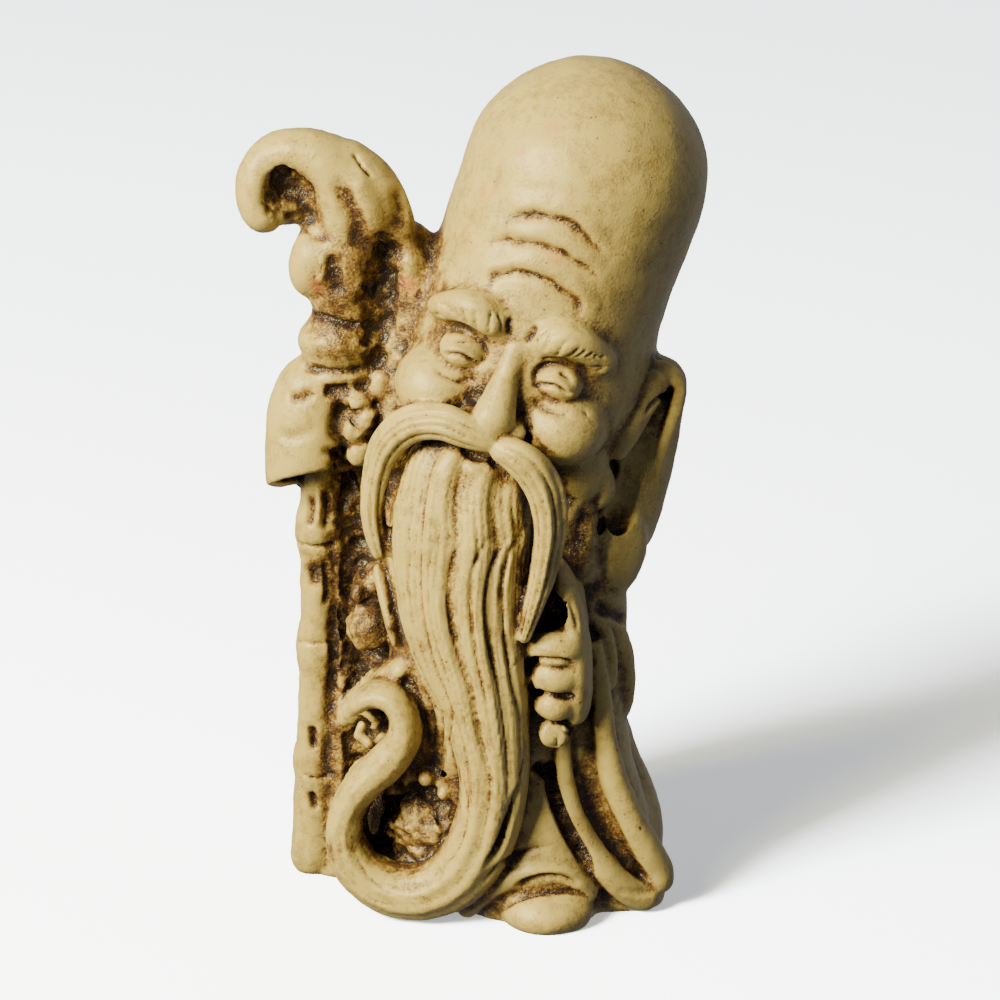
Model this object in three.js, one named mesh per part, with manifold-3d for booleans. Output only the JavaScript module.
// A pocket-sized figure of the bearded old man of long life, cast in one piece:
// tall bald crown, long ears, a beard that sweeps down into a curl, a gnarled
// staff at the right hand, a closed left hand and one shoe below the robe's hem.
//
// The frame: +Z up, the figure faces -Y, +X is the figure's left. The origin is at
// the middle of the underside. Pose and carving are given in hundredths of the
// figure's height, so a place [11, 3, 84] is 11 % of the height to the left, 3 %
// back and 84 % up. A place on a bar is [x, y, z, half width, half thickness].
import * as THREE from "three";
import { mergeVertices } from "three/addons/utils/BufferGeometryUtils.js";
import Module from "manifold-3d";

const wasm = await Module();
wasm.setup();

// Driving sizes, in millimetres.
const HEIGHT = 50;
const STAFF_RADIUS = 1.15;
const STAFF_KNOT_SWELL = 0.15;
const BEARD_LOCK_RELIEF = 0.3;
const SLEEVE_RIM_RADIUS = 0.62;
const FIST_HOLLOW_RADIUS = 1;
const FIST_HOLLOW_DEPTH = 1.8;
const CROOK_HOLLOW_RADIUS = 1.1;
const CROOK_HOLLOW_DEPTH = 1.6;
const CUFF_WALL = 0.7;
const EAR_RIM_RADIUS = 0.6;
const FINGER_RADIUS = 0.9;
const MOUSTACHE_RADIUS = 1.05;

// Counts of what repeats.
const BEARD_LOCKS = 5;
const STAFF_KNOTS = 3;
const FINGERS = 4;
const BACK_FOLDS = 4;

const SHARE = HEIGHT / 100;
const FRONT = new THREE.Vector3(0, -1, 0);
const BACK = new THREE.Vector3(0, 1, 0);
const UP = new THREE.Vector3(0, 0, 1);
const inShares = (millimetres) => millimetres / SHARE;

/** A closed three.js geometry as a solid that can be joined and cut. */
function solidOf(geometry) {
  const bare = geometry.clone();
  bare.deleteAttribute("normal");
  bare.deleteAttribute("uv");
  const merged = mergeVertices(bare, 1e-5);
  return new wasm.Manifold(
    new wasm.Mesh({
      numProp: 3,
      vertProperties: merged.attributes.position.array,
      triVerts: new Uint32Array(merged.index.array),
    }),
  );
}

/** Joins any number of solids. */
const join = (solids) => solids.reduce((whole, piece) => whole.add(piece));

/** How full a bar is at this distance from its rounded end, from 0 to 1. */
function roundedEnd(distance, radius) {
  if (distance >= radius) return 1;
  const missing = 1 - distance / radius;
  return Math.sqrt(Math.max(0, 1 - missing * missing));
}

/**
 * A round-ended bar along a smooth curve: a sphere whose poles go to the curve's ends.
 * facing is where its thickness points; relief(angle, run) is added to the thickness.
 * crowding draws the rings towards the ends: 0 spaces them evenly, 1 as on a sphere.
 */
function bar(
  places,
  { facing = FRONT, around = 8, along = 8, crowding = 0.5, relief = null } = {},
) {
  const spine = new THREE.CatmullRomCurve3(
    places.map(([x, y, z]) => new THREE.Vector3(x, y, z)),
  );
  const section = new THREE.CatmullRomCurve3(
    places.map(([, , , width, thickness = width]) => new THREE.Vector3(width, thickness, 0)),
  );
  const length = spine.getLength();
  const first = Math.min(places[0][3], length / 2);
  const last = Math.min(places.at(-1)[3], length / 2);
  const geometry = new THREE.SphereGeometry(1, around, along);
  const position = geometry.attributes.position;
  for (let i = 0; i < position.count; i++) {
    const polar = Math.acos(THREE.MathUtils.clamp(position.getY(i), -1, 1));
    const angle = Math.atan2(position.getZ(i), position.getX(i));
    const run = THREE.MathUtils.lerp(
      polar / Math.PI,
      (1 - Math.cos(polar)) / 2,
      crowding,
    );
    const at = spine.getUtoTmapping(run);
    const place = spine.getPoint(at);
    const size = section.getPoint(at);
    const tangent = spine.getTangent(at);
    const out = facing.clone().addScaledVector(tangent, -facing.dot(tangent)).normalize();
    const side = out.clone().cross(tangent);
    const full =
      roundedEnd(run * length, first) * roundedEnd((1 - run) * length, last);
    const extra = relief ? relief(angle, run) : 0;
    place.addScaledVector(side, Math.cos(angle) * size.x * full);
    place.addScaledVector(out, (Math.sin(angle) * size.y + extra) * full);
    position.setXYZ(i, place.x, place.y, place.z);
  }
  return solidOf(geometry.scale(SHARE, SHARE, SHARE));
}

/** An egg-shaped lump: centre, half sizes, and its lean to the left in degrees. */
function lump(centre, halves, lean = 0, [around, along] = [8, 6]) {
  const geometry = new THREE.SphereGeometry(1, around, along).rotateX(Math.PI / 2);
  geometry.scale(...halves).rotateY(THREE.MathUtils.degToRad(lean));
  return solidOf(geometry.translate(...centre).scale(SHARE, SHARE, SHARE));
}

/** The robed body: a tapering block that carries everything else. */
function robe() {
  return bar(
    [
      [3.6, 2, -12, 21, 11.5],
      [3, 2, 3, 20.8, 11.2],
      [1.4, 2, 13, 18.6, 10.6],
      [-0.4, 2, 24, 17.2, 10.4],
      [-0.2, 2.2, 38, 17, 10.4],
      [1.5, 2.4, 50, 15, 10],
      [3.8, 2.6, 66, 11, 8],
    ],
    { around: 14, along: 9 },
  );
}

/** Soft upright folds down the back of the robe, and the collar under the skull. */
function backOfRobe() {
  const folds = Array.from({ length: BACK_FOLDS }, (_, i) => {
    const across = (i / (BACK_FOLDS - 1)) * 2 - 1;
    const depth = (spread) => 9 * Math.sqrt(1 - (across * spread) ** 2);
    return bar(
      [
        [2.6 + across * 14, 2 + depth(0.7), -4, 4, 3.2],
        [1.2 + across * 11, 1.4 + depth(0.66), 16, 3.4, 2.8],
        [0.8 + across * 8, 0.4 + depth(0.58), 38, 2.4, 2],
      ],
      { facing: BACK, along: 6 },
    );
  });
  const collar = bar(
    [10, 50, 90, 130, 170].map((degrees) => {
      const turn = THREE.MathUtils.degToRad(degrees);
      const rise = 4 * Math.cos(turn) + 2 * Math.cos(turn) ** 2;
      return [2.2 + 12.8 * Math.cos(turn), 2 + 8.4 * Math.sin(turn), 51 + rise, 2.8, 4.4];
    }),
    { facing: UP },
  );
  return join([...folds, collar]);
}

/** The tall bald skull down to the chin, tilted to the figure's left. */
function skull() {
  return bar(
    [
      [16, 4.4, 99.66, 13.4, 14],
      [12.9, 3.2, 87, 13.9, 14.5],
      [9.2, 1.4, 75, 13.7, 14.4],
      [6.6, 0, 66, 14.4, 13.8],
      [4.6, -1.8, 57.5, 13.2, 12],
      [2.6, -4, 50, 9, 8.6],
    ],
    { around: 20, along: 12, crowding: 1 },
  );
}

// The face stands on even thirds, from brow to nose and from nose to chin. It is five
// eyes wide, and its middle line leans with the skull.
const FACE_LEAN = 16;
const FACE_MIDDLE = [7, -13, 69];
const FACE_THIRD = 12.4;
const EYE_WIDTH = 5.7;
const NOSE_DROP = FACE_THIRD * 0.62;

/** A place on the face: across and up from between the eyes, and out of the face. */
function onFace(across, up, out = 0) {
  const [x, y, z] = FACE_MIDDLE;
  const lean = THREE.MathUtils.degToRad(FACE_LEAN);
  const right = across * Math.cos(lean) + up * Math.sin(lean);
  return [x + right, y - out, z - across * Math.sin(lean) + up * Math.cos(lean)];
}

/** The hollows the eyes lie in. */
function eyeSockets() {
  return join(
    [-1, 1].map((side) =>
      lump(onFace(side * EYE_WIDTH, -0.4, 1.6), [EYE_WIDTH * 0.62, 2.6, 2.3], FACE_LEAN),
    ),
  );
}

/** Cheeks, brows and the broad mouth that the eyes and nose stand on. */
function faceMasses() {
  const sides = [-1, 1].flatMap((side) => [
    lump(onFace(side * 7.2, -6.4, -3.6), [6, 5.6, 5], FACE_LEAN, [8, 8]),
    bar(
      [
        [...onFace(side * 1.8, 3.4, 0), 1.6, 1.4],
        [...onFace(side * 5.8, 4.8, 0), 2.1, 1.5],
        [...onFace(side * 11, 2, -3.6), 1.4, 1.1],
      ],
      { along: 6 },
    ),
  ]);
  const mouth = lump(onFace(0, -NOSE_DROP - 2.6, -1.4), [7, 4, 3.6], FACE_LEAN);
  return join([...sides, mouth]);
}

/** Lidded eyes, nose and lower lip. */
function features() {
  const sides = [-1, 1].flatMap((side) => [
    lump(onFace(side * EYE_WIDTH, -0.6, -1.2), [EYE_WIDTH / 2, 2.2, 1.9], FACE_LEAN),
    bar(
      [
        [...onFace(side * EYE_WIDTH * 0.5, -1.4, 0.2), 0.45],
        [...onFace(side * EYE_WIDTH, -0.7, 1.1), 0.55],
        [...onFace(side * EYE_WIDTH * 1.5, -1.6, -0.6), 0.45],
      ],
      { around: 6, along: 6 },
    ),
    lump(onFace(side * EYE_WIDTH * 0.45, -NOSE_DROP, 0.6), [1.7, 2, 1.6], FACE_LEAN, [6, 5]),
  ]);
  const nose = bar(
    [
      [...onFace(0, 3, -1.2), 2.2, 1.7],
      [...onFace(0, -2.4, 0), 2.2, 2],
      [...onFace(0, -NOSE_DROP, 1.8), 2.5, 2.6],
    ],
    { along: 6 },
  );
  const lip = bar(
    [
      [...onFace(-2.8, -NOSE_DROP - 5.2, 0.6), 0.9],
      [...onFace(0, -NOSE_DROP - 6, 1.6), 1.1],
      [...onFace(2.8, -NOSE_DROP - 5.2, 0.6), 0.9],
    ],
    { around: 6, along: 6 },
  );
  return join([...sides, nose, lip]);
}

/** The long left ear: a flat back with a raised rim, an inner fold and a lobe. */
function leftEar() {
  const rim = inShares(EAR_RIM_RADIUS);
  const turned = new THREE.Vector3(0.45, -1, 0).normalize();
  const shell = bar(
    [
      [18.8, 3.6, 66, 3.4, 2.6],
      [18.4, 3, 58, 4.6, 3],
      [17, 2, 49, 4.6, 3.6],
      [15.2, 0.2, 40, 4.2, 4],
    ],
    { facing: turned, around: 10, along: 8 },
  );
  const outerRim = bar(
    [
      [15.6, -3.6, 59, rim],
      [17.6, -3.2, 64.4, rim],
      [21, -1, 66, rim * 1.2],
      [23, 1, 63.6, rim * 1.2],
      [21.8, 0.6, 55.6, rim],
      [20.2, -0.2, 47.6, rim],
      [18.2, -1.8, 40, rim * 0.8],
    ],
    { facing: turned, around: 6, along: 12 },
  );
  const innerFold = bar(
    [
      [18.4, -2.4, 61, rim],
      [16.4, -4.4, 55.4, rim * 1.4],
      [16, -5, 51.4, rim * 1.8],
    ],
    { around: 6, along: 6 },
  );
  const lobe = lump([15.6, -3.4, 43], [4.2, 3.4, 5.6], 12);
  return join([shell, outerRim, innerFold, lobe]);
}

/** What shows of the right ear between the skull and the staff. */
function rightEar() {
  return bar(
    [
      [-5.6, -4.4, 77.4, 2.1],
      [-6.6, -4.4, 71, 1.9],
      [-7.8, -5.4, 62, 2.2],
      [-7.6, -6.6, 53, 2],
    ],
  );
}

/** The beard: one ribbon of locks from the chin to the ground and up into a curl. */
function beard() {
  const height = inShares(BEARD_LOCK_RELIEF);
  const locks = (angle, run) => {
    const front = Math.max(0, Math.sin(angle));
    return height * front * (1 - run) * Math.cos(angle * BEARD_LOCKS * 2);
  };
  return bar(
    [
      [3.4, -10.6, 60, 7, 4.4],
      [1.4, -12.2, 54, 8, 5],
      [0.9, -13.6, 46, 8, 4.6],
      [2.4, -14.2, 37.5, 6.9, 4.4],
      [4.2, -14.2, 28.7, 5.4, 4.2],
      [4.9, -14, 19.6, 4.5, 4],
      [3.2, -13.4, 10.8, 4.9, 4],
      [-2, -13, 5, 4.8, 3.8],
      [-8.6, -13, 5.4, 4, 3.6],
      [-12, -13.2, 10.4, 3.2, 3.2],
      [-10.8, -13, 16.4, 2.8, 3],
      [-7, -12.8, 20.6, 2.8, 3],
      [-5.6, -12.4, 25, 2.7, 2.9],
      [-8.6, -12.1, 28, 2.6, 2.8],
      [-11.4, -11.7, 25.8, 1.8, 2.2],
    ],
    { around: BEARD_LOCKS * 4, along: 27, relief: locks },
  );
}

/** The chest that the beard lies on. */
function chest() {
  return bar(
    [
      [3, -5, 58, 8, 6],
      [2.4, -6.6, 44, 11, 6],
      [3, -7, 30, 11.6, 5.6],
      [0, -6.6, 12, 12, 5.4],
      [0, -6.6, -6, 12, 5.4],
    ],
    { along: 7 },
  );
}

/** The two arms of the moustache, down over the beard's edges. */
function moustache() {
  const radius = inShares(MOUSTACHE_RADIUS);
  const right = bar(
    [
      [6.4, -17, 60.2, radius * 0.7, radius * 0.6],
      [2.6, -17.2, 61.8, radius * 0.95, radius * 0.8],
      [-2, -16.4, 63, radius * 1.05, radius * 0.9],
      [-6.6, -14.4, 60.6, radius * 1.05, radius * 0.9],
      [-9.2, -13, 54, radius, radius],
      [-9, -12.8, 46.6, radius * 0.85, radius],
      [-6.4, -13.4, 40, radius * 0.5, radius * 0.7],
    ],
    { along: 12 },
  );
  const left = bar(
    [
      [7, -17.2, 60.2, radius * 0.7, radius * 0.6],
      [9.8, -17, 58.4, radius * 0.95, radius * 0.8],
      [11.8, -16, 53.6, radius, radius * 0.9],
      [11.9, -15.4, 47.4, radius * 0.95, radius * 0.9],
      [10.2, -15.6, 40.6, radius * 0.7, radius * 0.8],
      [8, -16, 34.4, radius * 0.35, radius * 0.5],
    ],
    { along: 10 },
  );
  return join([right, left]);
}

/** The staff's pole with its long knots, from the ground to below the crook. */
function pole() {
  const radius = inShares(STAFF_RADIUS);
  const knot = radius + inShares(STAFF_KNOT_SWELL);
  const foot = new THREE.Vector3(-19.2, -1.4, -4);
  const head = new THREE.Vector3(-16.6, -4.6, 62);
  const knots = Array.from({ length: STAFF_KNOTS }, (_, i) => {
    const centre = foot.clone().lerp(head, 0.22 + 0.52 * (i / (STAFF_KNOTS - 1)));
    return lump(centre.toArray(), [knot, knot, knot * 2.2], i * 8 - 6, [8, 5]);
  });
  const shaft = bar(
    [
      [...foot.toArray(), radius * 1.25],
      [...foot.clone().lerp(head, 0.3).toArray(), radius],
      [...foot.clone().lerp(head, 0.6).toArray(), radius * 0.9],
      [...head.toArray(), radius],
    ],
    { along: 8 },
  );
  return join([shaft, ...knots]);
}

/** The gnarled head of the staff, with its crook rolled forward to the right. */
function crook() {
  const trunk = bar(
    [
      [-14, -5, 60, 4.2],
      [-13.2, -5, 67.6, 5],
      [-13, -5, 72, 4.6],
      [-13.6, -5.2, 79, 5.4],
      [-12.6, -5.4, 85.6, 6, 5],
      [-13.6, -5.6, 91, 4.4],
    ],
    { around: 10, along: 11 },
  );
  const roll = lump([-20.4, -6.6, 86.6], [5.4, 4.6, 6], -14, [10, 8]);
  const bridge = bar(
    [
      [-24, -6.2, 89.4, 3],
      [-18, -5.8, 90, 3.2],
      [-11.6, -5, 87, 3.2],
      [-7, -3.6, 82, 2.8],
    ],
  );
  const knob = lump([-16.2, -6.4, 77.6], [3.8, 3.8, 5], 10);
  const collar = lump([-14.6, -5.6, 67.8], [5, 4.4, 2.8], -6);
  const bump = lump([-9.2, -7, 84.4], [3, 2.8, 2.6], 20, [6, 5]);
  const budBeside = lump([-6, -4, 77.6], [2.6, 2.6, 3.2], 10, [6, 5]);
  return join([trunk, roll, bridge, knob, collar, bump, budBeside]);
}

/** The web of solid material left between the staff and the figure. */
function web() {
  const top = lump([-8.4, -1.6, 73], [5.4, 3.6, 9], 12);
  const wall = bar(
    [
      [-8.8, -1.4, 73, 6, 3],
      [-9.4, -1.6, 66, 6, 3.4],
      [-10.6, -2, 58, 6.4, 3.8],
      [-12.8, -1.6, 40, 6, 3.2],
      [-13.6, -0.8, 20, 6, 3.6],
      [-14.4, 0, -6, 6, 4.4],
    ],
  );
  return join([top, wall]);
}

/** The long recess between the pole and the beard, cut into the robe and the web. */
function recessBesidePole() {
  return bar([
    [-12.6, -8, 56, 2.4, 4],
    [-12.4, -8, 44, 3, 5],
    [-12, -8, 30, 3.8, 5.4],
    [-12.2, -7.8, 16, 4, 5],
    [-13.6, -7, 4, 2.2, 4],
  ]);
}

/** The cuff hung on the staff below its head, open underneath. */
function cuff() {
  const outer = 4.7;
  const inner = outer - inShares(CUFF_WALL);
  const mouthHeight = 51.2;
  const bell = bar(
    [
      [-15.6, -5.4, 67, 3],
      [-16.6, -5.8, 62, 4.4],
      [-17.2, -6.2, 56, outer],
      [-17.4, -6.4, 46, outer],
    ],
    { around: 10, along: 7 },
  );
  const below = new THREE.BoxGeometry(20, 20, 20).translate(0, 0, -10);
  below.rotateX(THREE.MathUtils.degToRad(-10)).rotateY(THREE.MathUtils.degToRad(4));
  below.translate(-17.4, -6.4, mouthHeight).scale(SHARE, SHARE, SHARE);
  const mouth = lump([-17.4, -6.6, mouthHeight], [inner, inner, 3], 0, [10, 6]);
  return bell.subtract(solidOf(below)).subtract(mouth);
}

/** Leaves, fruit and cloth in the recess between the staff and the beard. */
function recessCarving() {
  const leaves = lump([-11.8, -6.6, 58.4], [3.2, 3, 5], 8);
  const fruit = lump([-9.8, -6.8, 36], [3.2, 5.2, 3.3], 10, [8, 8]);
  const bud = lump([-10.6, -5.8, 42.4], [2.2, 4.4, 3.4], 20, [6, 5]);
  const cloth = bar(
    [
      [-13, -6.4, 27, 2.2, 4],
      [-9.6, -7.4, 30.2, 2.4, 4],
      [-4, -8.6, 32.4, 2.4, 3.6],
    ],
    { along: 6 },
  );
  const rock = lump([-5, -7.6, 12.4], [6, 4, 5.4]);
  return join([leaves, fruit, bud, cloth, rock]);
}

/** The closed left hand: four curled fingers, and the thumb up over a round hollow. */
function leftHand() {
  const radius = inShares(FINGER_RADIUS);
  const pitch = radius * 1.95;
  const fingers = Array.from({ length: FINGERS }, (_, i) => {
    const drop = i * pitch;
    const size = radius * (1 - 0.06 * i);
    return bar(
      [
        [9.6 + i * 0.5, -13.6, 35.7 - drop, size * 0.8],
        [12.4 + i * 0.2, -14.8, 36.2 - drop, size],
        [15 - i * 0.1, -13.4, 35.6 - drop, size],
        [15.4 - i * 0.3, -9.6, 34.6 - drop, size],
      ],
      { facing: UP, along: 6 },
    );
  });
  const palm = bar(
    [
      [12.4, -9, 43, 2.6, 3],
      [13, -9.8, 34, 3.2, 3.4],
      [12.8, -9.8, 23, 2.8, 3.2],
    ],
    { along: 7 },
  );
  const thumb = bar(
    [
      [10.2, -12.6, 44.4, 1.3],
      [12.6, -12.8, 45, 1.5],
      [14.4, -12.2, 41.4, 1.6],
      [15.4, -11, 36.6, 1.6],
    ],
  );
  return join([palm, thumb, ...fingers]);
}

/** The left sleeve: shoulder, the fall of cloth and the rims of its open end. */
function leftSleeve() {
  const rim = inShares(SLEEVE_RIM_RADIUS);
  const fall = bar(
    [
      [13, -1.6, 42, 5, 5],
      [13.8, -2.4, 36, 5, 5.4],
      [14, -2.8, 28, 4.8, 5.4],
      [14.6, -3, 18, 4.8, 5.6],
      [16.6, -2.6, 9, 5, 5.6],
      [17.8, -2, -6, 5.4, 5.4],
    ],
    { around: 10, along: 8 },
  );
  const upperArc = bar(
    [
      [13.6, -6.6, 38.4, rim * 1.3],
      [17, -5.6, 34.8, rim * 1.3],
      [18.2, -4.6, 28.6, rim * 1.3],
      [17.6, -4.8, 22, rim],
    ],
    { around: 6, along: 8 },
  );
  const rightRim = bar(
    [
      [14.6, -8, 35, rim],
      [16.9, -7.6, 31.4, rim],
      [17.6, -7.6, 24, rim],
      [18.2, -7.8, 17, rim * 1.1],
      [20.4, -7, 10.6, rim * 1.3],
      [22.4, -5.4, 5.4, rim * 1.6],
      [22.2, -4.4, 0, rim * 2],
    ],
    { around: 6, along: 13 },
  );
  const leftRim = bar(
    [
      [12, -8.6, 23, rim * 0.8],
      [13, -9.4, 16.6, rim],
      [14.8, -9.4, 10.4, rim * 1.1],
      [17.2, -8.8, 5.4, rim * 1.3],
      [19.4, -7, 1, rim * 1.8],
    ],
    { around: 6, along: 9 },
  );
  const corner = lump([20, -3.4, 1.2], [4, 4.2, 3.6]);
  return join([fall, upperArc, rightRim, leftRim, corner]);
}

/** The skirt in front, its hem lifted over the foot, and the shoe. */
function skirtAndShoe() {
  const front = bar(
    [
      [8.6, -7, 24, 2.6, 3],
      [8.8, -8, 15, 4, 3.6],
      [8.6, -8.6, 6, 7.4, 4],
      [8.6, -8.4, -6, 9, 4],
    ],
    { around: 10, along: 6 },
  );
  const hem = bar(
    [
      [1.4, -11, 0, 1.5, 2],
      [5.4, -12.2, 4.4, 1.5, 2],
      [9.6, -12.6, 7, 1.5, 2],
      [13.6, -11.2, 6.4, 1.5, 2],
      [16.4, -8.4, 2.6, 1.4, 2],
    ],
    { along: 9 },
  );
  const shoe = bar(
    [
      [10.6, -6, 2, 5, 3.8],
      [11, -11, 1.6, 5.4, 3.6],
      [11.4, -16.4, 1.4, 4.4, 2.6],
    ],
    { facing: UP, around: 10, along: 8 },
  );
  return join([front, hem, shoe]);
}

/** The hollows cut after everything is joined. */
function hollows() {
  const crookRadius = inShares(CROOK_HOLLOW_RADIUS);
  const crookDepth = inShares(CROOK_HOLLOW_DEPTH);
  const crookHollow = lump(
    [-18.4, -11, 87.2],
    [crookRadius, crookDepth, crookRadius * 1.4],
    14,
  );
  const fistRadius = inShares(FIST_HOLLOW_RADIUS);
  const fistDepth = inShares(FIST_HOLLOW_DEPTH);
  const fistHollow = lump([11.6, -14.6, 40.2], [fistRadius, fistDepth, fistRadius]);
  const sleeveHollow = bar(
    [
      [14.8, -9.4, 22, 0.9, 1.6],
      [15.6, -9.4, 15, 1.3, 2],
      [17.8, -9, 9.4, 1.6, 2.2],
      [20, -7.8, 5, 1.1, 1.8],
    ],
  );
  return join([crookHollow, fistHollow, sleeveHollow]);
}

/** Everything below the ground, which the flat underside is cut with. */
function ground() {
  const reach = HEIGHT;
  return solidOf(new THREE.BoxGeometry(reach, reach, reach).translate(0, 0, -reach / 2));
}

/** The whole cast figure as one mesh. */
function figure() {
  const head = join([skull(), faceMasses()]).subtract(eyeSockets());
  const block = join([robe(), backOfRobe(), web(), chest()]).subtract(recessBesidePole());
  const whole = join([
    block,
    head,
    features(),
    leftEar(),
    rightEar(),
    pole(),
    crook(),
    cuff(),
    recessCarving(),
    leftSleeve(),
    skirtAndShoe(),
    beard(),
    moustache(),
    leftHand(),
  ])
    .subtract(hollows())
    .subtract(ground());
  const { min, max } = whole.boundingBox();
  const centred = whole.translate([-(min[0] + max[0]) / 2, -(min[1] + max[1]) / 2, 0]);
  const { vertProperties, triVerts } = centred.getMesh();
  const geometry = new THREE.BufferGeometry();
  geometry.setAttribute("position", new THREE.BufferAttribute(vertProperties, 3));
  geometry.setIndex(new THREE.BufferAttribute(triVerts, 1));
  geometry.computeVertexNormals();
  const resin = new THREE.MeshStandardMaterial({
    color: 0xcbb78c,
    roughness: 0.45,
    metalness: 0,
  });
  const mesh = new THREE.Mesh(geometry, resin);
  mesh.name = "shou_lao_figure";
  return mesh;
}

const root = new THREE.Group();
root.add(figure());

export default root;
